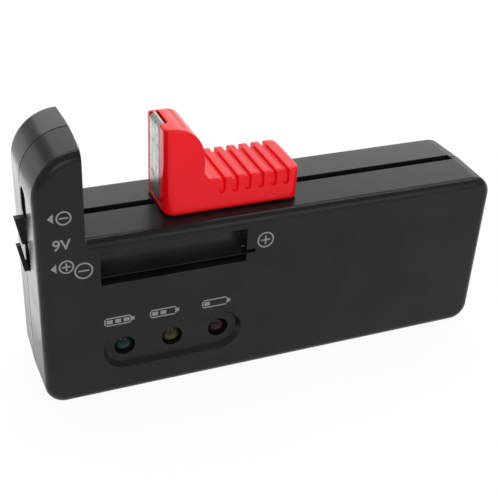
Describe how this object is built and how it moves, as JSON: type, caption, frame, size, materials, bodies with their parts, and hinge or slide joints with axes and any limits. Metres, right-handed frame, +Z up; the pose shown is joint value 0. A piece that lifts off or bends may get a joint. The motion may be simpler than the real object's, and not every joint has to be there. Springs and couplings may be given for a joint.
{
  "type": "battery tester",
  "caption": "Pocket battery tester: black two-part case with a contact tower, a red sliding contact on top, a button cell bay and status lamps in the front, snap contacts at the left end.",
  "frame": {"origin": "middle of the case's flat base, on the parting plane of the two shells", "axes": "+X along the case from the tower to the free end, +Y from the lamp face to the back, +Z up"},
  "size_m": [0.1119, 0.025, 0.062],
  "materials": {
    "case_plastic": "fine-grained moulded ABS with a soft sheen",
    "slider_plastic": "glossy moulded ABS",
    "contact_nickel": "nickel-plated spring steel strip",
    "screw_steel": "zinc-plated screw",
    "board_laminate": "green solder mask on glass laminate",
    "led_green_lens": "tinted clear epoxy, unlit",
    "led_yellow_lens": "tinted clear epoxy, unlit",
    "led_red_lens": "tinted clear epoxy, unlit",
    "chip_resin": "moulded black resin",
    "resistor_lacquer": "lacquered film resistor",
    "load_ceramic": "cement-coated wirewound resistor",
    "capacitor_sleeve": "shrink sleeve on an aluminium can",
    "choke_ferrite": "ferrite drum with enamelled copper winding",
    "lead_insulation_black": "soft PVC insulation",
    "lead_insulation_red": "soft PVC insulation"
  },
  "bodies": {
    "case": {"front_shell": "case_plastic", "rear_shell": "case_plastic", "case_screws": "screw_steel", "circuit_board": "board_laminate", "board_screws": "screw_steel", "led_green": "led_green_lens", "led_yellow": "led_yellow_lens", "led_red": "led_red_lens", "control_chip": "chip_resin", "small_resistors": "resistor_lacquer", "load_resistors": "load_ceramic", "capacitor": "capacitor_sleeve", "choke": "choke_ferrite", "tower_contact": "contact_nickel", "contact_rail": "contact_nickel", "nine_volt_negative_contact": "contact_nickel", "nine_volt_positive_contact": "contact_nickel", "button_cell_negative_contact": "contact_nickel", "button_cell_positive_contact": "contact_nickel", "tower_lead": "lead_insulation_black", "rail_lead": "lead_insulation_red", "nine_volt_leads": "lead_insulation_black", "button_cell_leads": "lead_insulation_black"},
    "slider": {"slider": "slider_plastic", "slider_contact": "contact_nickel"}
  },
  "joints": [
    {"name": "slider_slide", "type": "slide", "parent": "case", "child": "slider", "axis": [1, 0, 0], "range_m": [-0.0168, 0.046]}
  ]
}
